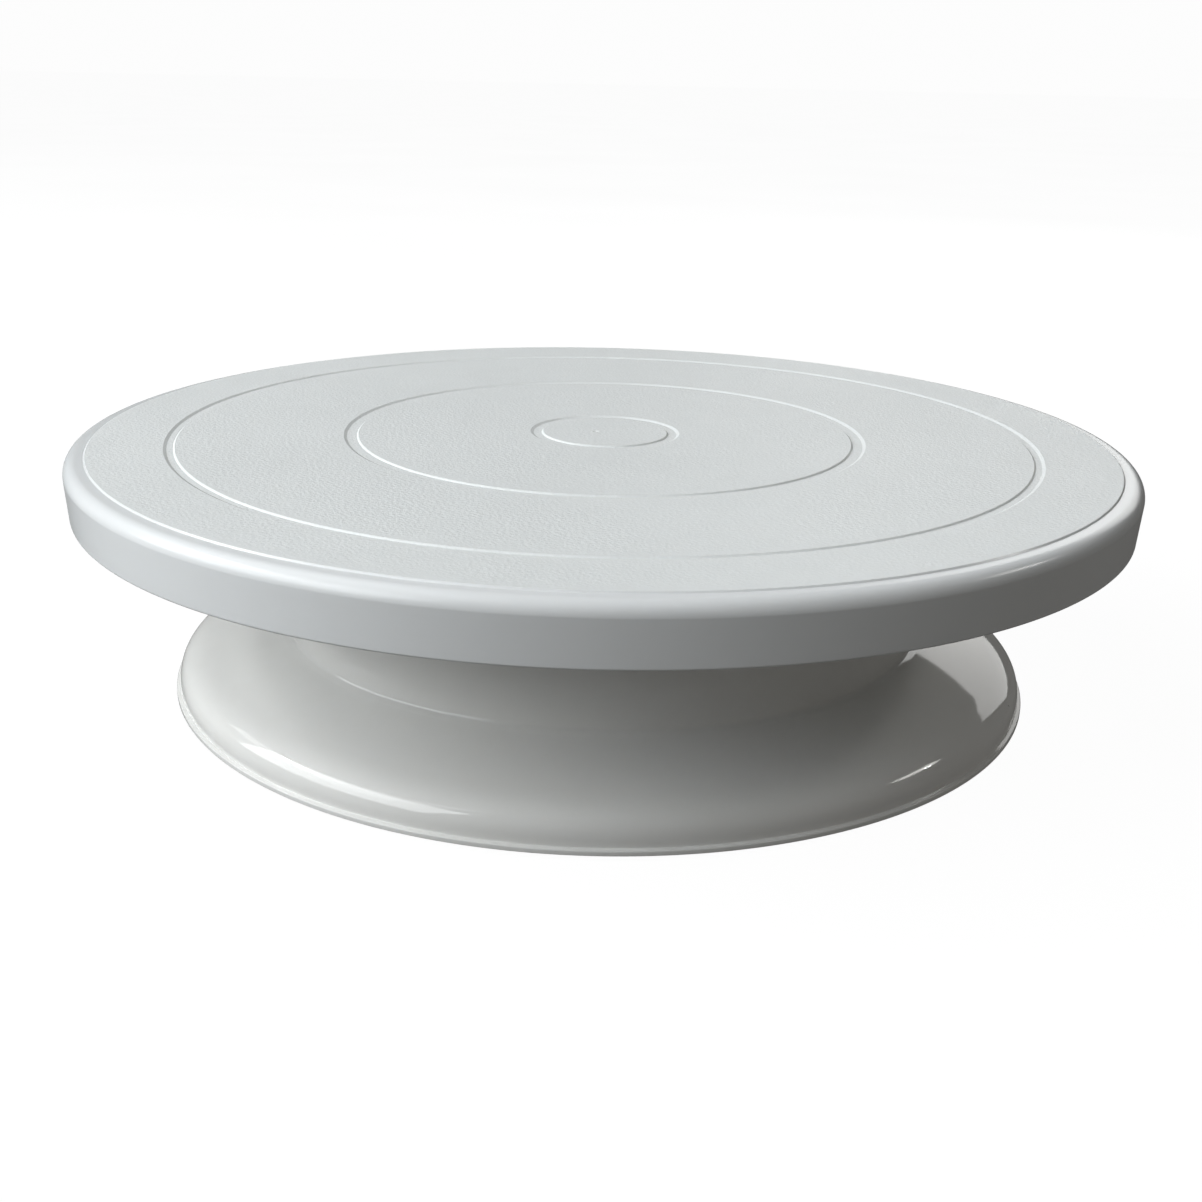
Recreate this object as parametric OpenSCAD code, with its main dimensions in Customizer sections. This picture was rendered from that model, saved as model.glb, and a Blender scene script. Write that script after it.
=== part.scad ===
// Cake-decorating turntable: a grooved round plate that spins on a flared hollow base.
// Frame: +Z up, Z is the spin axis, and z = 0 is the surface that the rubber pads stand on.
// A ball bearing under the plate carries the load, and a shoulder bolt stops the plate lifting off.

/* [Overall] */
// Diameter of the plate at its widest
plate_d = 280; // [270:1:300]
// Height from the table to the plate's top face
total_h = 66.7; // [65.7:0.5:72.7]
// Diameter of the base at its foot
foot_d = 233.6; // [228:0.2:240]

/* [Plate] */
// Height of the plate's rim, from the top face to the skirt's lower edge
rim_h = 14.4; // [12.4:0.1:15]
// Thickness of the plate's disc
disc_t = 2.8; // [2.4:0.1:3]
// Thickness of the skirt's wall
skirt_t = 2.4; // [2:0.1:3]
// Width of the glossy rim outside the raised, textured disc
rim_w = 5.4; // [5.4:0.2:8]
// How far the textured disc stands above the glossy rim
disc_step = 0.4; // [0.2:0.1:0.6]
// Radius that rounds the rim over into the skirt
rim_round = 3.4; // [3.2:0.1:5]
// Depth of the ring grooves in the top
groove_depth = 0.5; // [0.3:0.1:0.9]
// Height of the stiffening ribs under the disc
plate_rib_h = 5; // [3:0.5:5]

/* [Base] */
// Wall thickness of the base shell
base_t = 2.4; // [2:0.1:2.6]
// Radius of the neck where it meets the foot
neck_r = 86.8; // [86:0.2:88]
// How much the neck narrows from bottom to top
neck_draft = 0.8; // [0.4:0.1:1]
// Height of the neck's corner with the foot
corner_h = 16.6; // [15.6:0.1:17]
// How far the rubber pads stand out under the shell
pad_proud = 0.8; // [0.5:0.1:1.2]

/* [Bearing] */
// Diameter of the bearing balls
ball_d = 6; // [6:0.1:6.2]
// Number of bearing balls
ball_count = 24; // [12:1:28]
// Radius of the circle that the balls run on
ball_circle_r = 55; // [54:0.5:56]
// Thickness of each race ring
race_t = 2; // [1.8:0.1:2.2]

/* [Centre] */
// Diameter of the bolt's plain shoulder
shoulder_d = 8; // [7:0.5:8]
// Diameter of the bolt's threaded end
thread_d = 6; // [5:1:6]
// Inner radius of the base's centre tube
tube_r = 8; // [7.5:0.1:8.5]
// Wall thickness of the centre tube
tube_t = 3.5; // [3:0.1:4]

/* [Hidden] */
round_fn = 180;
small_fn = 48;
eps = 0.01;

plate_r = plate_d / 2;
foot_r = foot_d / 2;
plate_low = total_h - rim_h;
disc_low = total_h - disc_t;
skirt_low_r = plate_r - 0.7;
disc_r = plate_r - rim_w;
groove_rings = [[16.8, 20.2], [66.3, 70.1], [113, 115.8]];
groove_slant = 0.35;
gate_offset = -2.4;
gate_r = 1;

run_gap = 0.05;
press_gap = 0.02;
ball_r = ball_d / 2;
track_r = ball_r + run_gap;
race_inner_r = ball_circle_r - 7;
race_outer_r = ball_circle_r + 11;
track_depth = 0.95;
seat_h = 2.8;
upper_race_z = disc_low - seat_h - race_t;
ball_z = upper_race_z + track_depth - track_r;
lower_race_z = ball_z - track_r + track_depth - race_t;
deck_z = lower_race_z;
deck_t = 2.5;
neck_top = deck_z + 2.8;
cage_t = 2;
cage_half_w = 4;
pocket_r = ball_r + 0.1;

screw_circle_r = ball_circle_r + 7.3;
screw_count = 4;
screw_r = 1.5;
screw_head_r = 2.6;
screw_head_h = 1.6;
screw_len = 4.2;
long_screw_len = 7;
screw_slack = 0.1;

shoulder_r = shoulder_d / 2;
thread_r = thread_d / 2;
hub_r = 11;
hub_low = deck_z + 2.4;
insert_r = 6;
insert_low = hub_low + 0.3;
insert_top = total_h - 4;
bush_len = 10;
bush_flange_r = 10;
bush_flange_t = 1.5;
tube_low = 19.2;
washer_r = 10;
washer_t = 1.2;
washer_top = tube_low - bush_flange_t - 0.1;
spring_t = 1.5;
spring_r = 6.6;
bolt_head_top = washer_top - washer_t - spring_t;
bolt_head_h = 5.5;
bolt_head_r = 6.5;
cap_t = 1.5;
cap_top = 26;
cap_low = 6.5;

pad_count = 6;
pad_r = 5;
pad_circle_r = 108;
pad_seat = 1.6;
pad_boss_r = 6.5;
rib_count = 12;
outer_rib_count = 24;

// ---- Shared shapes ----

// A point on a cubic Bezier curve
function bezier(p, t) =
    pow(1 - t, 3) * p[0] + 3 * pow(1 - t, 2) * t * p[1]
    + 3 * (1 - t) * t * t * p[2] + pow(t, 3) * p[3];

// The unit normal of the curve, pointing to the right of its direction of travel
function bezier_normal(p, t) =
    let (d = pow(1 - t, 2) * (p[1] - p[0]) + 2 * (1 - t) * t * (p[2] - p[1])
             + t * t * (p[3] - p[2]))
    [d[1], -d[0]] / norm(d);

// A run of points that lies a set distance to the right of the curve
function bezier_run(p, aside = 0, steps = 10) =
    [for (i = [0:steps]) bezier(p, i / steps) + aside * bezier_normal(p, i / steps)];

// Points on an arc about a centre
function arc(centre, r, from, to, steps = 8) =
    [for (i = [0:steps]) let (a = from + (to - from) * i / steps)
        centre + r * [cos(a), sin(a)]];

// A list in reverse order
function reversed(list) = [for (i = [len(list) - 1:-1:0]) list[i]];

// The outline of a threaded rod as a stack of ridges, from z0 up to z1
function thread_outline(crest_r, root_r, z0, z1, pitch) =
    let (turns = floor((z1 - z0) / pitch))
    concat(
        [[0, z0], [root_r, z0]],
        [for (i = [0:turns - 1], side = [0, 1])
            side == 0 ? [crest_r, z0 + (i + 0.5) * pitch] : [root_r, z0 + (i + 1) * pitch]],
        [[root_r, z1], [0, z1]]
    );

// A solid of revolution from an outline of [radius, height] points
module lathe(outline, fn = round_fn) {
    rotate_extrude($fn = fn) polygon(outline);
}

// A flat ring
module ring(outer_r, inner_r, z0, height, fn = round_fn) {
    translate([0, 0, z0]) difference() {
        cylinder(r = outer_r, h = height, $fn = fn);
        translate([0, 0, -1]) cylinder(r = inner_r, h = height + 2, $fn = fn);
    }
}

// Copies of the children, evenly spaced about the Z axis at a radius
module around(count, radius, start = 0) {
    for (i = [0:count - 1]) rotate([0, 0, start + i * 360 / count])
        translate([radius, 0, 0]) children();
}

// A rib standing on a radius, cut from an outline of [radius, height] points
module radial_rib(outline, thickness) {
    rotate([90, 0, 0]) translate([0, 0, -thickness / 2])
        linear_extrude(thickness) polygon(outline);
}

// A pan-head screw, head down at the origin with its shank going up, or the reverse
module pan_screw(length) {
    difference() {
        union() {
            lathe(concat([[0, 0]], arc([screw_head_r - 1.1, -screw_head_h + 1.1], 1.1, -90, 0, 5),
                [[screw_head_r, 0]], [[0, 0]]), small_fn);
            lathe(thread_outline(screw_r - press_gap, screw_r - 0.35, 0, length, 0.7), small_fn);
        }
        for (turn = [0, 90]) rotate([0, 0, turn])
            translate([-1.4, -0.3, -screw_head_h - 1]) cube([2.8, 0.6, 1.9]);
    }
}

// ---- Plate, which turns ----

module plate_body() {
    shoulder_z = total_h - disc_step - 0.1;
    lathe(concat(
        [[0, total_h], [disc_r, total_h], [disc_r + 0.35, total_h - disc_step]],
        arc([plate_r - rim_round, shoulder_z - rim_round], rim_round, 90, 2, 12),
        [[skirt_low_r, plate_low + 0.4], [skirt_low_r - 0.4, plate_low],
         [skirt_low_r - skirt_t + 0.3, plate_low], [skirt_low_r - skirt_t, plate_low + 0.3],
         [plate_r - skirt_t, shoulder_z - rim_round]],
        arc([plate_r - rim_round, shoulder_z - rim_round], rim_round - skirt_t, 10, 80, 5),
        [[plate_r - rim_round - 1.2, disc_low], [0, disc_low]]
    ));
}

// The cutter of one ring groove, with slanted walls and a flat floor
module groove(radii) {
    lathe([
        [radii[0], total_h + 1], [radii[0], total_h],
        [radii[0] + groove_slant, total_h - groove_depth],
        [radii[1] - 2 * groove_slant, total_h - groove_depth],
        [radii[1], total_h], [radii[1], total_h + 1]
    ]);
}

module plate_ribs() {
    rib_low = disc_low - plate_rib_h;
    overlap = 0.2;
    around(rib_count, 0)
        radial_rib([[hub_r - 1, rib_low], [race_inner_r - 1, rib_low],
                    [race_inner_r - 1, disc_low + overlap], [hub_r - 1, disc_low + overlap]], 1.6);
    around(outer_rib_count, 0)
        radial_rib([[race_outer_r + 1.5, rib_low], [skirt_low_r - skirt_t + 0.6, rib_low],
                    [skirt_low_r - skirt_t + 0.6, disc_low + overlap],
                    [race_outer_r + 1.5, disc_low + overlap]], 1.6);
    for (r = [30, 78, 98, 118]) ring(r + 0.8, r - 0.8, rib_low, plate_rib_h + overlap);
}

module turntable_plate() {
    color("whitesmoke") difference() {
        union() {
            plate_body();
            plate_ribs();
            ring(race_outer_r + 2, race_inner_r - 2, disc_low - seat_h, seat_h + 0.2);
            ring(race_outer_r + 2, race_outer_r + 0.3, upper_race_z, race_t + seat_h);
            translate([0, 0, hub_low]) cylinder(r = hub_r, h = disc_low - hub_low + 0.2, $fn = 96);
        }
        for (radii = groove_rings) groove(radii);
        translate([0, 0, hub_low - 1])
            cylinder(r = insert_r + press_gap, h = insert_top - hub_low + 1, $fn = 96);
        around(screw_count, screw_circle_r, 45) translate([0, 0, upper_race_z])
            cylinder(r = screw_r, h = screw_len + 0.4, $fn = small_fn);
        translate([gate_offset, 0, total_h - 0.3])
            cylinder(r1 = gate_r * 0.4, r2 = gate_r, h = 0.3 + eps, $fn = small_fn);
    }
}

module hub_insert() {
    groove_z = [1.4, 3.4, 5.4];
    color("goldenrod") difference() {
        translate([0, 0, insert_low]) cylinder(r = insert_r, h = insert_top - insert_low, $fn = 96);
        translate([0, 0, insert_low - 1])
            cylinder(r = thread_r + run_gap, h = insert_top - insert_low + 2, $fn = 96);
        for (z = groove_z) ring(insert_r + 1, insert_r - 0.4, insert_low + z, 0.5, 96);
    }
}

// One bearing race; its ball track lies in the circle that the ball centres run on
module race(z0, angle) {
    difference() {
        ring(race_outer_r, race_inner_r, z0, race_t);
        rotate_extrude($fn = round_fn) translate([ball_circle_r, ball_z])
            circle(r = track_r, $fn = small_fn);
        around(screw_count, screw_circle_r, angle) translate([0, 0, z0 - 1])
            cylinder(r = screw_r + screw_slack, h = race_t + 2, $fn = small_fn);
    }
}

module upper_race() {
    color("silver") race(upper_race_z, 45);
}

module upper_race_screws() {
    color("gainsboro") around(screw_count, screw_circle_r, 45)
        translate([0, 0, upper_race_z]) pan_screw(screw_len);
}

module centre_bolt() {
    shoulder_len = insert_low - bolt_head_top;
    head_low = bolt_head_top - bolt_head_h;
    color("lightslategray") difference() {
        union() {
            lathe([[0, head_low], [bolt_head_r - 0.6, head_low], [bolt_head_r, head_low + 0.6],
                   [bolt_head_r, bolt_head_top - 0.2], [bolt_head_r - 0.2, bolt_head_top],
                   [0, bolt_head_top]], 96);
            translate([0, 0, bolt_head_top - eps])
                cylinder(r = shoulder_r, h = shoulder_len + eps, $fn = 96);
            lathe(thread_outline(thread_r, thread_r - 0.5, insert_low - eps, insert_top - 0.5, 1), 96);
        }
        translate([0, 0, head_low - 1]) cylinder(r = 2.9, h = 3.6, $fn = 6);
    }
}

module spring_washer() {
    color("dimgray") difference() {
        ring(spring_r, shoulder_r + 0.1, bolt_head_top, spring_t, 96);
        translate([shoulder_r - 1, 0, bolt_head_top + spring_t / 2]) rotate([30, 0, 0])
            translate([0, -0.4, -3]) cube([6, 0.8, 6]);
    }
}

module retaining_washer() {
    color("silver") ring(washer_r, shoulder_r + 0.1, washer_top - washer_t, washer_t, 96);
}

// ---- Ball cage, which turns at half the plate's speed ----

module ball_cage() {
    color("ivory") difference() {
        union() {
            ring(ball_circle_r + cage_half_w, ball_circle_r - cage_half_w, ball_z - cage_t / 2, cage_t);
            around(ball_count, ball_circle_r) translate([0, 0, ball_z - cage_t / 2 - 0.4])
                cylinder(r = pocket_r + 0.8, h = cage_t + 0.8, $fn = small_fn);
        }
        around(ball_count, ball_circle_r) translate([0, 0, ball_z - cage_t])
            cylinder(r = pocket_r, h = 2 * cage_t, $fn = small_fn);
    }
}

module bearing_balls() {
    color("lightsteelblue") around(ball_count, ball_circle_r)
        translate([0, 0, ball_z]) sphere(r = ball_r, $fn = small_fn);
}

// ---- Base, which stands still ----

module lower_race() {
    color("silver") race(lower_race_z, 0);
}

module lower_race_screws() {
    color("gainsboro") around(screw_count, screw_circle_r, 0)
        translate([0, 0, lower_race_z + race_t]) mirror([0, 0, 1]) pan_screw(long_screw_len);
}

// A flanged bush about the Z axis, its flange at the origin and its body going up
module flanged_bush() {
    difference() {
        union() {
            translate([0, 0, -bush_flange_t]) cylinder(r = bush_flange_r, h = bush_flange_t, $fn = 96);
            translate([0, 0, -eps]) cylinder(r = tube_r - press_gap, h = bush_len + eps, $fn = 96);
        }
        translate([0, 0, -bush_flange_t - 1])
            cylinder(r = shoulder_r + run_gap, h = bush_len + bush_flange_t + 2, $fn = 96);
    }
}

module upper_bush() {
    color("beige") translate([0, 0, deck_z]) mirror([0, 0, 1]) flanged_bush();
}

module lower_bush() {
    color("beige") translate([0, 0, tube_low]) flanged_bush();
}

// The foot's outer curve, from the neck's corner out over the bulge and down to the lip
flare_curve = [[neck_r + 1, corner_h - 0.6], [neck_r + 6, corner_h - 2.2],
               [foot_r - 17, corner_h - 3.8], [foot_r - 10.8, corner_h - 5.3]];
bulge_curve = [[foot_r - 10.8, corner_h - 5.3], [foot_r - 5, corner_h - 6.6],
               [foot_r - 0.6, corner_h - 8], [foot_r - 1.1, pad_proud + 1.6]];

// The shell's outline, a set distance inside the outer surface, from the neck's top to the foot
function shell_run(inset) =
    let (top_r = neck_r - neck_draft)
    concat(
        [[top_r - inset, neck_top], [neck_r - inset, corner_h + 0.8]],
        inset == 0 ? arc([neck_r + 1.2, corner_h + 0.8], 1.2, 180, 245, 4) : [],
        bezier_run(flare_curve, inset, 8),
        bezier_run(bulge_curve, inset, 14)
    );

module base_wall() {
    low = pad_proud;
    lathe(concat(
        shell_run(0),
        [[foot_r - 0.3, low + 1.3], [foot_r, low + 1], [foot_r, low], [foot_r - 1.1 - base_t, low]],
        reversed(shell_run(base_t))
    ));
}

// The space that the outer surface encloses, which trims the pad bosses
module base_envelope() {
    lathe(concat([[0, neck_top]], shell_run(0.3), [[foot_r - 1.4, pad_proud], [0, pad_proud]]));
}

// Radial ribs that run from the centre tube under the deck, down the neck and out into the foot
module base_ribs() {
    around(rib_count, 0) radial_rib([
        [tube_r + tube_t - 1, deck_z - 1], [tube_r + tube_t - 1, deck_z - 13],
        [62, deck_z - 13], [neck_r - 8, 24], [neck_r - 4, 7], [foot_r - 9, 4.5],
        [foot_r - 9, corner_h + 1], [neck_r - 1.2, corner_h + 1],
        [neck_r - neck_draft - 1.2, deck_z - 1]
    ], 2);
    for (r = [34, 58, 72]) ring(r + 0.9, r - 0.9, deck_z - 11, 10);
}

module base_shell() {
    deck_low = deck_z - deck_t;
    color("white") difference() {
        union() {
            base_wall();
            translate([0, 0, deck_low])
                cylinder(r = neck_r - neck_draft - base_t + 0.8, h = deck_t, $fn = round_fn);
            ring(race_outer_r + 2, race_outer_r + 0.3, deck_z - 0.2, 1.4);
            translate([0, 0, tube_low]) cylinder(r = tube_r + tube_t, h = deck_low - tube_low + 1, $fn = 96);
            around(screw_count, screw_circle_r, 0) translate([0, 0, deck_z - 9])
                cylinder(r = 4, h = 8, $fn = small_fn);
            intersection() {
                base_envelope();
                union() {
                    base_ribs();
                    around(pad_count, pad_circle_r, 15) translate([0, 0, pad_proud])
                        cylinder(r = pad_boss_r, h = 14, $fn = small_fn);
                }
            }
        }
        translate([0, 0, tube_low - 1])
            cylinder(r = tube_r, h = deck_z - tube_low + 2, $fn = 96);
        around(screw_count, screw_circle_r, 0) translate([0, 0, deck_z - 6])
            cylinder(r = screw_r, h = 7, $fn = small_fn);
        around(pad_count, pad_circle_r, 15) translate([0, 0, -1])
            cylinder(r = pad_r + press_gap, h = 1 + pad_proud + pad_seat, $fn = small_fn);
    }
}

module dust_cap() {
    inner_r = tube_r + tube_t + press_gap;
    outer_r = inner_r + cap_t;
    color("white") lathe([
        [0, cap_low], [outer_r - 1, cap_low], [outer_r, cap_low + 1],
        [outer_r, cap_top - 0.4], [outer_r - 0.4, cap_top], [inner_r, cap_top],
        [inner_r, cap_low + cap_t], [0, cap_low + cap_t]
    ], 96);
}

module foot_pad(index) {
    top_z = pad_proud + pad_seat;
    color("darkgray") rotate([0, 0, 15 + (index - 1) * 360 / pad_count])
        translate([pad_circle_r, 0, 0])
            lathe([[0, 0], [pad_r - 0.5, 0], [pad_r - 0.15, 0.15], [pad_r, 0.5],
                   [pad_r, top_z], [0, top_z]], small_fn);
}

turntable_plate();
hub_insert();
upper_race();
upper_race_screws();
centre_bolt();
spring_washer();
retaining_washer();
ball_cage();
bearing_balls();
lower_race();
lower_race_screws();
upper_bush();
lower_bush();
base_shell();
dust_cap();
for (i = [1:pad_count]) foot_pad(i);
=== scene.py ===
"""Lazy susan turntable: a grooved white plate that spins on a flared hollow pedestal.

Everything is in metres in the CAD's frame, with z = 0 under the foot pads and Z as the spin axis.
Profiles are written in millimetres as (radius, height) and turned into metres when meshed.
"""
import math

import bmesh
import bpy
from mathutils import Matrix, Vector


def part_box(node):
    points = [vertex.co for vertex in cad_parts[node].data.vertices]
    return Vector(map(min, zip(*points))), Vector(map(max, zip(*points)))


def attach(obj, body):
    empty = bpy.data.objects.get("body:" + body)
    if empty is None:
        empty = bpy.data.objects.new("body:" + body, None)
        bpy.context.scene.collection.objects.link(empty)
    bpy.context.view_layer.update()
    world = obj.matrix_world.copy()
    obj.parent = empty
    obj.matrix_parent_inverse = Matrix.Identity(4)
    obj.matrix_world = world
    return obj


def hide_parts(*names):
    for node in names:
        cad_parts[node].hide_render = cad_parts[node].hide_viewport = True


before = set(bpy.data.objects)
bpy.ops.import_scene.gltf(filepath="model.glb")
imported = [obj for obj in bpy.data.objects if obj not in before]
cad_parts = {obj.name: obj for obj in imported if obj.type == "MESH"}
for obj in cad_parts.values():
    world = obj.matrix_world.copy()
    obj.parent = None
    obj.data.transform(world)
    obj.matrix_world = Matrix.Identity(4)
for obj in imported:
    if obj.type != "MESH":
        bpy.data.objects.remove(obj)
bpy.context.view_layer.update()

MM = 0.001
ROUND = 360        # segments of the large turned pieces
CAP_ROUND = 144    # segments of the dust cap
SMALL_ROUND = 72   # segments of the pads, their seats and the screw bosses
ON_AXIS = 1e-6     # a radius below this is on the axis
SAME_PLACE = 1e-4  # vertices closer than this are merged


# ---------------------------------------------------------------- sizes, in mm, from the CAD boxes

def mm_box(node):
    """A CAD node's lowest and highest corners in millimetres."""
    low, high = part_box(node)
    return low / MM, high / MM


plate_box = mm_box("turntable_plate")
base_box = mm_box("base_shell")
pad_box = mm_box("foot_pad_1")
cap_box = mm_box("dust_cap")
race_box = mm_box("upper_race")
lower_race_box = mm_box("lower_race")
insert_box = mm_box("hub_insert")
bush_box = mm_box("lower_bush")

TOP = plate_box[1].z
PLATE_R = -plate_box[0].x
SKIRT_LOW = plate_box[0].z
FOOT_R = base_box[1].x
FOOT_LOW = base_box[0].z
NECK_TOP = base_box[1].z
DECK = lower_race_box[0].z
SEAT = race_box[1].z
RACE_R = race_box[1].x
BUSH_FLANGE = 1.5
TUBE_LOW = bush_box[0].z + BUSH_FLANGE

# The plate
BORDER = 5.4           # width of the satin border outside the textured disc
DISC_R = PLATE_R - BORDER
DISC_STEP = 0.4
DISC_T = 2.8
DISC_UNDER = TOP - DISC_T
RIM_ROUND = 3.4
RIM_DROP = 0.1         # how far the border falls before the rim's rounding starts
SKIRT_T = 2.4
SKIRT_DRAFT = 0.7
SKIRT_LOW_R = PLATE_R - SKIRT_DRAFT
GROOVES = ((16.8, 20.2), (66.3, 70.1), (113.0, 115.8))   # inner and outer radii
GROOVE_DEPTH = 0.4
GROOVE_STEEP = 0.42    # run of a groove's inner wall
GROOVE_SLOPE = 0.8     # run of a groove's outer wall
PLATE_RIB_H = 5
PLATE_RIB_LOW = DISC_UNDER - PLATE_RIB_H
PLATE_RIB_T = 1.6
PLATE_RINGS = (118, 98, 78)
HUB_RING = 30
SEAT_INNER_R = 46      # inner edge of the upper race's seat
INNER_RIBS, OUTER_RIBS = 12, 24
HUB_R = 11
HUB_GAP = 2.4          # from the deck up to the hub
INSERT_R = insert_box[1].x + 0.02
INSERT_DEPTH = 4       # from the top face down to the insert's pocket
GATE = (-2.4, 0.0, 1.0, 0.3)   # x, y, radius and depth of the moulding gate's dimple
GATE_LIP = (0.06, 1.15, 0.2)   # the dimple's raised edge: height, then place and width in radii

# The base and what fits it
RACE_GAP = 0.3         # between a race and the collar around it
COLLAR_T = 1.7
COLLAR_H = 1.2

NECK_R = 86.8
NECK_DRAFT = 0.8
CORNER = 16.6          # height of the concave corner between neck and foot
CORNER_ROUND = 1.2
BASE_T = 2.4
DECK_T = 2.5
LIP_H = 1.2
LIP_OUT = 1.1          # how far the lip stands out from the foot
TUBE_R = 8.0
TUBE_T = 3.5
BASE_RIBS = 12
BASE_RIB_T = 2.0
BASE_RIB_H = 13        # below the deck's top, as are the next two
BASE_RING_H = 11
SCREW_BOSS_H = 9
BASE_RINGS = (72, 58, 34)
PAD_COUNT = 6
PAD_TURN = 15          # degrees from +X to the first pad
PAD_CIRCLE = 108
PAD_R = 5
PAD_BOSS_R = 6.5
PAD_FIT = 0.02         # between a pad and its seat
SCREW_COUNT = 4
SCREW_CIRCLE = 62.3
SCREW_BOSS_R = 4


# ---------------------------------------------------------------- outlines

def rounded(corners, steps=4):
    """Points along an outline whose corners (r, z, radius) are each rounded by their radius."""
    points = []
    for i, (r, z, radius) in enumerate(corners):
        here = Vector((r, z))
        if radius == 0 or i in (0, len(corners) - 1):
            points.append(here)
            continue
        back = (Vector(corners[i - 1][:2]) - here).normalized()
        ahead = (Vector(corners[i + 1][:2]) - here).normalized()
        half = back.angle(ahead) / 2
        reach = radius / math.tan(half)
        centre = here + (back + ahead).normalized() * radius / math.sin(half)
        start = here + back * reach - centre
        end = here + ahead * reach - centre
        sweep = start.angle_signed(end)
        for k in range(steps + 1):
            points.append(centre + Matrix.Rotation(-sweep * k / steps, 2) @ start)
    return points


def arc(centre, radius, first, last, steps):
    """Points on an arc; the angles are in degrees."""
    angles = [math.radians(first + (last - first) * i / steps) for i in range(steps + 1)]
    return [Vector((centre[0] + radius * math.cos(a), centre[1] + radius * math.sin(a)))
            for a in angles]


def bezier_run(p, inset, steps):
    """Points a set distance to the right of a cubic curve."""
    p = [Vector(q) for q in p]
    run = []
    for i in range(steps + 1):
        t = i / steps
        u = 1 - t
        at = u ** 3 * p[0] + 3 * u * u * t * p[1] + 3 * u * t * t * p[2] + t ** 3 * p[3]
        way = u * u * (p[1] - p[0]) + 2 * u * t * (p[2] - p[1]) + t * t * (p[3] - p[2])
        run.append(at + inset * Vector((way.y, -way.x)).normalized())
    return run


def ring_rib(radius, root, tip, root_w=2.0, tip_w=1.5):
    """Corners of a ring rib's cross-section, met from the outside going in."""
    return [(radius + root_w / 2, root, 0.5), (radius + tip_w / 2, tip, 0.35),
            (radius - tip_w / 2, tip, 0.35), (radius - root_w / 2, root, 0.5)]


def plate_outline():
    """The plate's cross-section, from the axis over the top and back underneath."""
    top = [(0, TOP, 0)]
    for inner, outer in GROOVES:
        top += [(inner, TOP, 0.2), (inner + GROOVE_STEEP, TOP - GROOVE_DEPTH, 0.15),
                (outer - GROOVE_SLOPE, TOP - GROOVE_DEPTH, 0.5), (outer, TOP, 0.25)]
    top += [(DISC_R, TOP, 0.2), (DISC_R + 0.35, TOP - DISC_STEP, 0.15)]
    shoulder = TOP - DISC_STEP - RIM_DROP
    centre = (PLATE_R - RIM_ROUND, shoulder - RIM_ROUND)
    over = arc(centre, RIM_ROUND, 90, 2, 14)
    under = arc(centre, RIM_ROUND - SKIRT_T, 8, 82, 6)
    top += [(over[0].x, over[0].y, 0)]
    skirt = [(over[-1].x, over[-1].y, 0), (SKIRT_LOW_R, SKIRT_LOW, 0.6),
             (SKIRT_LOW_R - SKIRT_T, SKIRT_LOW, 0.5), (under[0].x, under[0].y, 0)]
    below = [(under[-1].x, under[-1].y, 0), (PLATE_R - RIM_ROUND - 1.5, DISC_UNDER, 1)]
    for radius in PLATE_RINGS:
        below += ring_rib(radius, DISC_UNDER, PLATE_RIB_LOW)
    seat = RACE_R + RACE_GAP
    below += [(seat + 1.9, DISC_UNDER, 0.5), (seat + COLLAR_T, race_box[0].z, 0.4),
              (seat, race_box[0].z, 0.2), (seat, SEAT, 0.1), (SEAT_INNER_R, SEAT, 0.4),
              (SEAT_INNER_R - 0.2, DISC_UNDER, 0.5)]
    below += ring_rib(HUB_RING, DISC_UNDER, PLATE_RIB_LOW)
    hub_low = DECK + HUB_GAP
    below += [(HUB_R + 0.2, DISC_UNDER, 1.2), (HUB_R, hub_low, 0.6), (INSERT_R, hub_low, 0.2),
              (INSERT_R, TOP - INSERT_DEPTH, 0.2), (0, TOP - INSERT_DEPTH, 0)]
    return rounded(top) + over[1:-1] + rounded(skirt, 6) + under[1:-1] + rounded(below)


# Control points of the foot's shallow slope and of the rolled bulge that ends it
FLARE = ((NECK_R + 1, CORNER - 0.6), (NECK_R + 6, CORNER - 2.2),
         (FOOT_R - 17, CORNER - 3.8), (FOOT_R - 10.8, CORNER - 5.3))
BULGE = ((FOOT_R - 10.8, CORNER - 5.3), (FOOT_R - 5, CORNER - 6.6),
         (FOOT_R - 0.6, CORNER - 8), (FOOT_R - LIP_OUT, FOOT_LOW + 1.6))


def foot_run(inset, steps=28):
    """The foot's surface at a set depth, from the neck's corner out to the lip."""
    return bezier_run(FLARE, inset, steps)[:-1] + bezier_run(BULGE, inset, steps)


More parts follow.
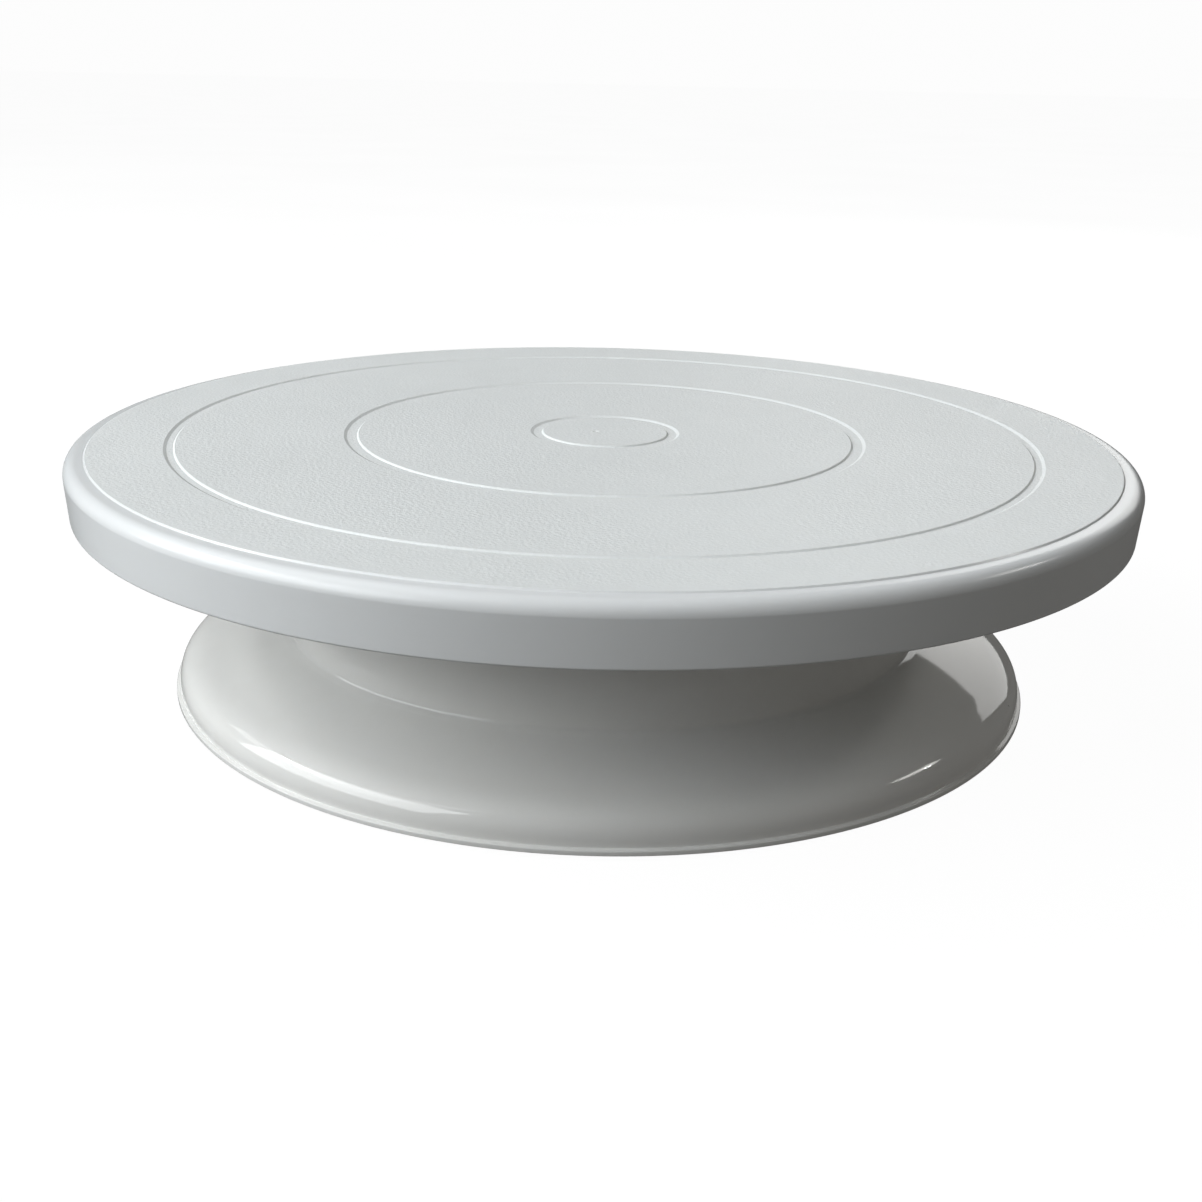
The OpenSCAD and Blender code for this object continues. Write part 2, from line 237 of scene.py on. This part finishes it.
def base_outline():
    """The base shell's closed cross-section."""
    top_r = NECK_R - NECK_DRAFT
    deck_under = DECK - DECK_T
    collar = RACE_R + RACE_GAP
    foot_inner = FOOT_R - LIP_OUT - BASE_T
    first = rounded([
        (TUBE_R, TUBE_LOW + 1, 0), (TUBE_R, DECK, 0.3), (collar, DECK, 0.1),
        (collar, DECK + COLLAR_H, 0.2), (collar + COLLAR_T, DECK + COLLAR_H, 0.4),
        (collar + COLLAR_T, DECK, 0.4),
        (top_r - BASE_T, DECK, 0.6), (top_r - BASE_T, NECK_TOP, 0.3), (top_r, NECK_TOP, 0.5),
        (NECK_R, CORNER + 0.8, 0)])
    corner = arc((NECK_R + CORNER_ROUND, CORNER + 0.8), CORNER_ROUND, 180, 245, 6)
    outside = foot_run(0)
    lip = rounded([
        (outside[-1].x, outside[-1].y, 0), (FOOT_R - 1.05, FOOT_LOW + 1.4, 0.2),
        (FOOT_R, FOOT_LOW + LIP_H, 0.35), (FOOT_R, FOOT_LOW, 0.2),
        (foot_inner, FOOT_LOW, 0.3), (foot_inner, FOOT_LOW + 1.6, 0)])
    inside = foot_run(BASE_T)[::-1]
    last = [(inside[-1].x, inside[-1].y, 0), (NECK_R - BASE_T, CORNER - 1, 1.5),
            (top_r - BASE_T, deck_under, 1.5)]
    for radius in BASE_RINGS:
        last += ring_rib(radius, deck_under, DECK - BASE_RING_H, 2.3, 1.7)
    last += [(TUBE_R + TUBE_T + 0.4, deck_under, 2), (TUBE_R + TUBE_T, TUBE_LOW, 0.3),
             (TUBE_R, TUBE_LOW, 0.3), (TUBE_R, TUBE_LOW + 1, 0)]
    return first + corner[1:] + outside[1:] + lip[1:] + inside[1:-1] + rounded(last)[:-1]


def cap_outline():
    """The dust cap's cross-section, from the axis underneath round to the axis inside."""
    low, high = cap_box
    outer = high.x
    return rounded([
        (0, low.z + 0.5, 0), (8.6, low.z + 0.5, 0.3), (9.1, low.z, 0.3), (outer, low.z, 1.2),
        (outer, high.z, 0.4), (outer - 1.5, high.z, 0.3), (outer - 1.5, low.z + 1.5, 0.8),
        (0, low.z + 1.5, 0)])


def pad_outline():
    """A foot pad's cross-section: a soft-edged foot with a shallow cup in its face."""
    top = pad_box[1].z
    return rounded([(0, 0.45, 0), (2.3, 0.4, 0.4), (2.8, 0, 0.3), (PAD_R - 0.1, 0, 0.5),
                    (PAD_R, 0.9, 0.3), (PAD_R, top, 0.1), (0, top, 0)])


# ---------------------------------------------------------------- meshes

def new_object(name, mesh):
    """A new object in the scene."""
    piece = bpy.data.objects.new(name, mesh)
    bpy.context.scene.collection.objects.link(piece)
    return piece


def finish_mesh(name, bm):
    """Turns a bmesh in millimetres into a smooth piece in metres."""
    bmesh.ops.remove_doubles(bm, verts=bm.verts, dist=SAME_PLACE)
    bmesh.ops.recalc_face_normals(bm, faces=bm.faces)
    bmesh.ops.scale(bm, vec=(MM, MM, MM), verts=bm.verts)
    for face in bm.faces:
        face.smooth = True
    mesh = bpy.data.meshes.new(name)
    bm.to_mesh(mesh)
    bm.free()
    piece = new_object(name, mesh)
    even = piece.modifiers.new("even_normals", "WEIGHTED_NORMAL")
    even.keep_sharp = True
    return piece


def add_lathe(bm, outline, segments, place=Matrix.Identity(4), closed=False):
    """Adds the solid that an outline sweeps about Z. An open outline starts and ends on the axis."""
    rings = []
    for r, z in outline:
        if r < ON_AXIS:
            rings.append([bm.verts.new(place @ Vector((0, 0, z)))])
            continue
        rings.append([bm.verts.new(place @ Vector((r * math.cos(a), r * math.sin(a), z)))
                      for a in (2 * math.pi * k / segments for k in range(segments))])
    pairs = list(zip(rings, rings[1:]))
    if closed:
        pairs.append((rings[-1], rings[0]))
    for one, two in pairs:
        for k in range(segments):
            n = (k + 1) % segments
            loop = [one[k % len(one)], one[n % len(one)], two[n % len(two)], two[k % len(two)]]
            corners = [v for i, v in enumerate(loop) if v not in loop[:i]]
            if len(corners) > 2:
                bm.faces.new(corners)


def inset_outline(points, depth):
    """A closed outline, given anticlockwise, moved inwards by a small depth."""
    moved = []
    for i, here in enumerate(points):
        back = (here - points[i - 1]).normalized()
        ahead = (points[(i + 1) % len(points)] - here).normalized()
        n1, n2 = Vector((-back.y, back.x)), Vector((-ahead.y, ahead.x))
        moved.append(here + depth * (n1 + n2) / max(0.4, 1 + n1.dot(n2)))
    return moved


def add_web(bm, outline, thickness, angle, soft=0.35):
    """Adds a rib that stands on a radius, with its long edges rounded."""
    points = [Vector(p) for p in outline]
    area = sum(a.x * b.y - b.x * a.y for a, b in zip(points, points[1:] + points[:1]))
    if area < 0:
        points.reverse()
    turn = Matrix.Rotation(math.radians(angle), 4, "Z")
    half = thickness / 2
    layers = [(-half, soft), (-half + 0.3 * soft, 0.3 * soft), (-half + soft, 0),
              (half - soft, 0), (half - 0.3 * soft, 0.3 * soft), (half, soft)]
    rings = [[bm.verts.new(turn @ Vector((p.x, y, p.y))) for p in inset_outline(points, depth)]
             for y, depth in layers]
    count = len(points)
    for one, two in zip(rings, rings[1:]):
        for k in range(count):
            n = (k + 1) % count
            bm.faces.new((one[k], one[n], two[n], two[k]))
    bm.faces.new(rings[0])
    bm.faces.new(rings[-1][::-1])


def depth_at(run, radius):
    """The height of a foot_run at a radius."""
    for a, b in zip(run, run[1:]):
        if a.x <= radius <= b.x:
            return a.y + (b.y - a.y) * (radius - a.x) / (b.x - a.x)
    return run[0].y if radius < run[0].x else run[-1].y


def build_plate():
    """The turned body of the plate, with the gate's dimple pressed into the top."""
    bm = bmesh.new()
    outline = plate_outline()
    fine = [Vector((0.5 + 0.125 * k, TOP)) for k in range(32)]
    add_lathe(bm, [outline[0]] + fine + outline[1:], ROUND)
    gate_x, gate_y, gate_r, gate_depth = GATE
    lip_height, lip_at, lip_width = GATE_LIP
    for v in bm.verts:
        away = math.hypot(v.co.x - gate_x, v.co.y - gate_y) / gate_r
        if v.co.z > TOP - 0.01 and away < 1.6:
            dip = gate_depth * max(0.0, 1 - away * away) ** 1.5
            lift = lip_height * math.exp(-((away - lip_at) / lip_width) ** 2)
            v.co.z += min(0.0, lift - dip)
    return finish_mesh("plate_body", bm)


def build_plate_ribs():
    """The radial ribs under the plate's disc."""
    bm = bmesh.new()
    root = DISC_UNDER + 0.3
    inner = (HUB_R - 1, SEAT_INNER_R + 0.4)
    outer = (RACE_R + 1.4, SKIRT_LOW_R - SKIRT_T + 0.9)
    for (start, end), far_root, count in ((inner, root, INNER_RIBS), (outer, root - 0.4, OUTER_RIBS)):
        outline = [(start, PLATE_RIB_LOW), (end, PLATE_RIB_LOW), (end, far_root), (start, root)]
        for k in range(count):
            add_web(bm, outline, PLATE_RIB_T, 360 // count * k)
    return finish_mesh("plate_ribs", bm)


def build_base():
    """The turned body of the base shell."""
    bm = bmesh.new()
    add_lathe(bm, base_outline(), ROUND, closed=True)
    return finish_mesh("base_body", bm)


def build_base_ribs():
    """The base's radial ribs, the pads' seats and the screws' bosses."""
    bm = bmesh.new()
    middle = foot_run(BASE_T / 2)
    end_r = FOOT_R - 9
    tube = TUBE_R + TUBE_T - 1
    outline = [(tube, DECK - 1), (tube, DECK - BASE_RIB_H), (62, DECK - BASE_RIB_H), (NECK_R - 8, 24),
               (NECK_R - 4, 7), (end_r, 4.5), (end_r, depth_at(middle, end_r))]
    outline += [p for p in middle[::-1] if p.x < end_r - 0.3]
    outline += [(NECK_R - 1.2, CORNER + 1), (NECK_R - NECK_DRAFT - 1.2, DECK - 1)]
    for k in range(BASE_RIBS):
        add_web(bm, outline, BASE_RIB_T, 360 // BASE_RIBS * k)
    for k in range(PAD_COUNT):
        add_pad_seat(bm, middle, math.radians(PAD_TURN + 360 // PAD_COUNT * k))
    boss = rounded([(0, DECK - SCREW_BOSS_H, 0), (SCREW_BOSS_R, DECK - SCREW_BOSS_H, 0.6),
                    (SCREW_BOSS_R, DECK - 1, 0.1), (0, DECK - 1, 0)])
    for k in range(SCREW_COUNT):
        a = math.radians(360 // SCREW_COUNT * k)
        place = Matrix.Translation((SCREW_CIRCLE * math.cos(a), SCREW_CIRCLE * math.sin(a), 0))
        add_lathe(bm, boss, SMALL_ROUND, place)
    return finish_mesh("base_ribs", bm)


def add_pad_seat(bm, surface, angle):
    """Adds the boss that holds a foot pad; its hidden top follows the middle of the shell's wall."""
    low = FOOT_LOW + 0.05
    recess = pad_box[1].z
    centre = Vector((PAD_CIRCLE * math.cos(angle), PAD_CIRCLE * math.sin(angle), 0))
    wall = rounded([(PAD_R + PAD_FIT, recess, 0), (PAD_R + PAD_FIT, low, 0.2),
                    (PAD_BOSS_R, low, 0.4), (PAD_BOSS_R, low + 3, 0)])
    rings = [[] for _ in range(len(wall) + 1)]
    for k in range(SMALL_ROUND):
        a = 2 * math.pi * k / SMALL_ROUND
        side = Vector((math.cos(a), math.sin(a), 0))
        for ring, point in zip(rings, wall):
            ring.append(bm.verts.new(centre + point.x * side + Vector((0, 0, point.y))))
        top = centre + PAD_BOSS_R * side
        top.z = depth_at(surface, top.length)
        rings[-1].append(bm.verts.new(top))
    for one, two in zip(rings, rings[1:]):
        for k in range(SMALL_ROUND):
            n = (k + 1) % SMALL_ROUND
            bm.faces.new((one[k], one[n], two[n], two[k]))
    bm.faces.new(rings[0][::-1])
    bm.faces.new(rings[-1])


def build_cap():
    """The dust cap that is pushed on under the centre tube."""
    bm = bmesh.new()
    add_lathe(bm, cap_outline(), CAP_ROUND)
    return finish_mesh("cap_body", bm)


def build_pad(index):
    """A foot pad, centred in its CAD node's box."""
    low, high = mm_box("foot_pad_%d" % index)
    centre = (low + high) / 2
    bm = bmesh.new()
    add_lathe(bm, pad_outline(), SMALL_ROUND, Matrix.Translation((centre.x, centre.y, 0)))
    return finish_mesh("pad_body_%d" % index, bm)


# ---------------------------------------------------------------- materials

class Graph:
    """A small helper that adds and joins shader nodes."""

    def __init__(self, tree):
        self.tree = tree

    def add(self, kind, inputs=None, **settings):
        node = self.tree.nodes.new(kind)
        for key, value in settings.items():
            setattr(node, key, value)
        for key, value in (inputs or {}).items():
            if isinstance(value, bpy.types.NodeSocket):
                self.tree.links.new(value, node.inputs[key])
            else:
                node.inputs[key].default_value = value
        return node

    def noise(self, where, scale, detail=2.0, roughness=0.5):
        return self.add("ShaderNodeTexNoise", {"Vector": where, "Scale": scale, "Detail": detail,
                                               "Roughness": roughness}).outputs["Fac"]

    def cells(self, where, scale):
        return self.add("ShaderNodeTexVoronoi", {"Vector": where, "Scale": scale}).outputs

    def remap(self, value, low, high, to_low, to_high):
        return self.add("ShaderNodeMapRange", {"Value": value, "From Min": low, "From Max": high,
                                               "To Min": to_low, "To Max": to_high}
                        ).outputs["Result"]

    def math(self, kind, a, b=0.0):
        return self.add("ShaderNodeMath", {0: a, 1: b}, operation=kind).outputs[0]

    def blend(self, share, a, b):
        node = self.add("ShaderNodeMix", data_type="RGBA")
        for socket, value in ((node.inputs[0], share), (node.inputs[6], a), (node.inputs[7], b)):
            if isinstance(value, bpy.types.NodeSocket):
                self.tree.links.new(value, socket)
            else:
                socket.default_value = value
        return node.outputs[2]

    def bump(self, height, distance, normal=None):
        inputs = {"Height": height, "Distance": distance, "Strength": 1.0}
        if normal is not None:
            inputs["Normal"] = normal
        return self.add("ShaderNodeBump", inputs).outputs["Normal"]


def new_material(name, roughness, **sockets):
    """A material with its graph, its shader and the object's own coordinates."""
    material = bpy.data.materials.new(name)
    material.use_nodes = True
    graph = Graph(material.node_tree)
    shader = material.node_tree.nodes["Principled BSDF"]
    shader.inputs["Roughness"].default_value = roughness
    for key, value in sockets.items():
        shader.inputs[key.replace("_", " ")].default_value = value
    where = graph.add("ShaderNodeTexCoord").outputs["Object"]
    return material, graph, shader, where


def join(graph, shader, **outputs):
    """Links nodes' outputs to the shader's inputs of the same names."""
    for key, value in outputs.items():
        graph.tree.links.new(value, shader.inputs[key.replace("_", " ")])


def rgb(r, g, b):
    """An opaque colour."""
    return (r, g, b, 1.0)


def plastic(name, light, shade, roughness, swing, texture, specks, waviness, gloss=0.5):
    """Moulded plastic: cloudy colour, uneven gloss, moulded texture, specks and faint waviness.

    texture is (size, depth) of the moulded grain in metres, or None for a polished surface;
    specks is the share of dark flecks; waviness is the depth of the slow surface swell;
    gloss is the shader's specular level.
    """
    material, graph, shader, where = new_material(
        name, roughness, IOR=1.49, Specular_IOR_Level=gloss, Subsurface_Weight=0.12,
        Subsurface_Radius=(1.0, 0.95, 0.9), Subsurface_Scale=0.0015)
    cloud = graph.noise(where, 14, 4, 0.6)
    fine_cloud = graph.noise(where, 160, 3, 0.6)
    mixed = graph.math("ADD", graph.math("MULTIPLY", cloud, 0.65),
                       graph.math("MULTIPLY", fine_cloud, 0.35))
    colour = graph.blend(graph.remap(mixed, 0.35, 0.65, 0.0, 1.0), rgb(*shade), rgb(*light))
    if specks:
        cell = graph.cells(where, 95)
        chance = graph.add("ShaderNodeSeparateColor", {"Color": cell["Color"]}).outputs["Red"]
        chosen = graph.math("LESS_THAN", chance, specks)
        near = graph.math("LESS_THAN", cell["Distance"], 0.035)
        fleck = graph.math("MULTIPLY", chosen, near)
        colour = graph.blend(graph.math("MULTIPLY", fleck, 0.7), colour, rgb(0.12, 0.11, 0.10))
    uneven = graph.noise(where, 38, 5, 0.65)
    rough = graph.remap(uneven, 0.3, 0.7, roughness - swing, roughness + swing)
    normal = graph.bump(graph.noise(where, 55, 2, 0.5), waviness)
    if texture:
        size, depth = texture
        grain = graph.noise(where, 1 / size, 3, 0.62)
        pits = graph.cells(where, 0.7 / size)["Distance"]
        height = graph.math("ADD", grain, graph.math("MULTIPLY", pits, 0.5))
        normal = graph.bump(height, depth, normal)
    join(graph, shader, Base_Color=colour, Roughness=rough, Normal=normal)
    return material


def metal(name, dark, light, roughness, lay=None, stain=None):
    """Metal with uneven tone. lay is the spacing of turning marks about the axis, in metres."""
    material, graph, shader, where = new_material(name, roughness, Metallic=1.0)
    patches = graph.noise(where, 220, 4, 0.6)
    colour = graph.blend(graph.remap(patches, 0.3, 0.7, 0.0, 1.0), rgb(*dark), rgb(*light))
    if stain:
        spots = graph.remap(graph.noise(where, 90, 3, 0.7), 0.52, 0.7, 0.0, 0.45)
        colour = graph.blend(spots, colour, rgb(*stain))
    rough = graph.remap(graph.noise(where, 400, 3, 0.6), 0.3, 0.7, roughness - 0.06, roughness + 0.08)
    if lay:
        apart = graph.add("ShaderNodeSeparateXYZ", {"Vector": where})
        squares = [graph.math("POWER", apart.outputs[axis], 2.0) for axis in "XY"]
        radius = graph.math("POWER", graph.math("ADD", *squares), 0.5)
        path = graph.add("ShaderNodeCombineXYZ", {"X": radius, "Y": apart.outputs["Z"]})
        marks = graph.noise(path.outputs["Vector"], 1 / lay, 2, 0.5)
        normal = graph.bump(marks, 0.00001)
    else:
        normal = graph.bump(patches, 0.00002)
    join(graph, shader, Base_Color=colour, Roughness=rough, Normal=normal)
    return material


def rubber(name):
    """Grained rubber with patches of dust."""
    material, graph, shader, where = new_material(name, 0.82, Specular_IOR_Level=0.35)
    grain = graph.noise(where, 2600, 4, 0.65)
    dust = graph.remap(graph.noise(where, 420, 4, 0.7), 0.48, 0.7, 0.0, 0.45)
    colour = graph.blend(dust, rgb(0.035, 0.035, 0.036), rgb(0.20, 0.19, 0.18))
    rough = graph.remap(grain, 0.3, 0.7, 0.72, 0.92)
    join(graph, shader, Base_Color=colour, Roughness=rough, Normal=graph.bump(grain, 0.00006))
    return material


plate_textured = plastic("plate_textured", (0.88, 0.90, 0.895), (0.85, 0.87, 0.865),
                         0.50, 0.04, (0.0007, 0.00011), 0.02, 0.00001, gloss=0.28)
plate_satin = plastic("plate_satin", (0.875, 0.89, 0.895), (0.86, 0.875, 0.88),
                      0.20, 0.01, None, 0.015, 0.000003, gloss=0.34)
base_gloss = plastic("base_gloss", (0.87, 0.865, 0.845), (0.85, 0.845, 0.82),
                     0.06, 0.015, None, 0.05, 0.000006)
cap_satin = plastic("cap_satin", (0.78, 0.775, 0.75), (0.74, 0.735, 0.71),
                    0.36, 0.05, (0.0007, 0.00003), 0.02, 0.00003)
bush_acetal = plastic("bush_acetal", (0.80, 0.78, 0.70), (0.74, 0.71, 0.62),
                      0.30, 0.05, (0.0009, 0.00002), 0.0, 0.00002)
cage_nylon = plastic("cage_nylon", (0.78, 0.75, 0.66), (0.70, 0.66, 0.56),
                     0.38, 0.06, (0.0008, 0.00003), 0.0, 0.00002)
race_steel = metal("race_steel", (0.46, 0.47, 0.48), (0.62, 0.63, 0.64), 0.26, 0.0003)
ball_steel = metal("ball_steel", (0.60, 0.61, 0.62), (0.74, 0.75, 0.76), 0.09)
screw_zinc = metal("screw_zinc", (0.50, 0.50, 0.50), (0.66, 0.66, 0.64), 0.30, None,
                   (0.52, 0.50, 0.40))
bolt_steel = metal("bolt_steel", (0.26, 0.26, 0.27), (0.42, 0.42, 0.43), 0.32, 0.0004,
                   (0.16, 0.15, 0.15))
washer_zinc = metal("washer_zinc", (0.52, 0.52, 0.52), (0.68, 0.68, 0.66), 0.28, 0.0005,
                    (0.54, 0.52, 0.42))
spring_dark = metal("spring_dark", (0.10, 0.10, 0.11), (0.20, 0.20, 0.21), 0.42, None,
                    (0.08, 0.07, 0.06))
insert_brass = metal("insert_brass", (0.56, 0.38, 0.13), (0.74, 0.55, 0.24), 0.25, 0.0004,
                     (0.38, 0.24, 0.10))
pad_rubber = rubber("pad_rubber")


# ---------------------------------------------------------------- pieces

def dress(piece, body, slot, node, *materials):
    """Puts a new piece on its body in place of a CAD node."""
    for material in materials:
        piece.data.materials.append(material)
    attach(piece, body)
    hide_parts(node)
    return piece


plate_body = dress(build_plate(), "plate", "plate_plastic", "turntable_plate",
                   plate_textured, plate_satin)
for face in plate_body.data.polygons:   # the disc is textured; the rest of the plate is satin
    centre = face.center / MM
    on_disc = math.hypot(centre.x, centre.y) < DISC_R + 0.05 and centre.z > TOP - 1
    face.material_index = 0 if on_disc else 1
dress(build_plate_ribs(), "plate", "plate_plastic", "turntable_plate", plate_satin)
dress(build_base(), "base", "base_plastic", "base_shell", base_gloss)
dress(build_base_ribs(), "base", "base_plastic", "base_shell", base_gloss)
dress(build_cap(), "base", "cap_plastic", "dust_cap", cap_satin)
for index in range(1, PAD_COUNT + 1):
    dress(build_pad(index), "base", "pad_rubber", "foot_pad_%d" % index, pad_rubber)

KEPT_NODES = {   # CAD nodes that stay as they are, with their materials
    "hub_insert": insert_brass, "upper_race": race_steel, "lower_race": race_steel,
    "upper_race_screws": screw_zinc, "lower_race_screws": screw_zinc,
    "centre_bolt": bolt_steel, "spring_washer": spring_dark, "retaining_washer": washer_zinc,
    "ball_cage": cage_nylon, "bearing_balls": ball_steel,
    "upper_bush": bush_acetal, "lower_bush": bush_acetal,
}
for node, material in KEPT_NODES.items():
    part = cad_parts[node]
    part.data.materials.clear()
    part.data.materials.append(material)


# ---------------------------------------------------------------- camera

CAMERA_AT = Vector((0.0, -0.3997, 0.1570))
CAMERA_LENS = 44.79     # millimetres
CAMERA_SENSOR = 36      # millimetres
CAMERA_PITCH = 0.3352   # radians below the horizon
CAMERA_ROLL = 0.0236    # radians

camera = bpy.data.objects.new("camera", bpy.data.cameras.new("camera"))
bpy.context.scene.collection.objects.link(camera)
camera.data.lens = CAMERA_LENS
camera.data.sensor_width = CAMERA_SENSOR
camera.data.clip_start = 0.01
forward = Vector((0, math.cos(CAMERA_PITCH), -math.sin(CAMERA_PITCH)))
level = Vector((1, 0, 0))
upright = level.cross(forward)
right = level * math.cos(CAMERA_ROLL) + upright * math.sin(CAMERA_ROLL)
up = upright * math.cos(CAMERA_ROLL) - level * math.sin(CAMERA_ROLL)
turn = Matrix((right, up, -forward)).transposed()
camera.matrix_world = Matrix.Translation(CAMERA_AT) @ turn.to_4x4()
bpy.context.scene.camera = camera


# ---------------------------------------------------------------- floor, world and lights

OBJECT_MIDDLE = (0.0, 0.0, 0.04)
GLOW_FROM = Vector((0.75, -0.62, 0.22))
GLOW_FOCUS = 5.0
GLOW_COLOUR = (0.21, 0.203, 0.189)
DIM_BELOW = (0.085, 0.083, 0.08)
DIM_ABOVE = (0.035, 0.036, 0.037)
BACKDROP = 0.98      # brightness of the floor and the world as the camera sees them
FLOOR_REACH = 60.0

LIGHTS = (           # name, place, width and height, watts, colour
    ("window", (-1.75, -0.60, 1.05), (2.4, 1.2), 41, (0.95, 0.985, 1.0)),
    ("skylight", (-1.25, 0.0, 1.65), (2.3, 1.6), 20, (0.97, 0.99, 1.0)),
    ("doorway", (0.66, 1.38, 0.52), (1.15, 0.5), 3.0, (1.0, 1.0, 0.98)),
    ("fill", (1.45, 0.22, 0.98), (0.5, 0.16), 1.7, (1.0, 0.98, 0.94)),
    ("left lamp", (-1.48, 0.11, 1.18), (0.4, 0.015), 2.2, (1.0, 1.0, 1.0)),
    ("right lamp", (1.58, 0.34, 1.0), (0.16, 0.012), 0.5, (1.0, 1.0, 1.0)),
)


def build_floor():
    """A wide pale floor, seen by the camera but kept out of the object's bounce light."""
    bm = bmesh.new()
    bmesh.ops.create_circle(bm, cap_ends=True, segments=96, radius=FLOOR_REACH)
    mesh = bpy.data.meshes.new("floor")
    bm.to_mesh(mesh)
    bm.free()
    floor = new_object("floor", mesh)
    material, graph, shader, where = new_material("floor_paint", 0.85, Specular_IOR_Level=0.15)
    cloud = graph.noise(where, 3, 3, 0.5)
    join(graph, shader,
         Base_Color=graph.blend(cloud, rgb(0.045, 0.045, 0.045), rgb(0.05, 0.05, 0.05)),
         Emission_Color=graph.blend(cloud, rgb(0.97, 0.97, 0.97), rgb(1.0, 1.0, 1.0)))
    shader.inputs["Emission Strength"].default_value = BACKDROP
    mesh.materials.append(material)
    floor.visible_diffuse = False
    floor.visible_glossy = False


def build_world():
    """A dim room with a soft warm glow from the front right; the camera sees plain white."""
    world = bpy.data.worlds.new("studio")
    bpy.context.scene.world = world
    world.use_nodes = True
    graph = Graph(world.node_tree)
    way = graph.add("ShaderNodeTexCoord").outputs["Generated"]
    facing = graph.add("ShaderNodeVectorMath", {0: way, 1: GLOW_FROM.normalized()},
                       operation="DOT_PRODUCT").outputs["Value"]
    glow = graph.math("POWER", graph.math("MAXIMUM", facing, 0.0), GLOW_FOCUS)
    rise = graph.add("ShaderNodeSeparateXYZ", {"Vector": way}).outputs["Z"]
    above = graph.remap(rise, -0.1, 0.1, 0.0, 1.0)
    quiet = graph.blend(above, rgb(*DIM_BELOW), rgb(*DIM_ABOVE))
    room = graph.add("ShaderNodeBackground", {
        "Color": graph.blend(glow, quiet, rgb(*GLOW_COLOUR)), "Strength": 1.0})
    seen = graph.add("ShaderNodeBackground", {
        "Color": rgb(BACKDROP, BACKDROP, BACKDROP), "Strength": 1.0})
    rays = graph.add("ShaderNodeLightPath")
    either = graph.add("ShaderNodeMixShader", {0: rays.outputs["Is Camera Ray"],
                                               1: room.outputs[0], 2: seen.outputs[0]})
    graph.tree.links.new(either.outputs[0], world.node_tree.nodes["World Output"].inputs[0])


def area_light(name, place, size, power, colour):
    """A rectangular light that faces the object."""
    data = bpy.data.lights.new(name, "AREA")
    data.shape = "RECTANGLE"
    data.size, data.size_y = size
    data.energy = power
    data.color = colour
    light = bpy.data.objects.new(name, data)
    bpy.context.scene.collection.objects.link(light)
    light.location = place
    way = Vector(OBJECT_MIDDLE) - Vector(place)
    light.rotation_euler = way.to_track_quat("-Z", "Y").to_euler()


build_floor()
build_world()
for light in LIGHTS:
    area_light(*light)
bpy.context.scene.view_settings.view_transform = "Standard"
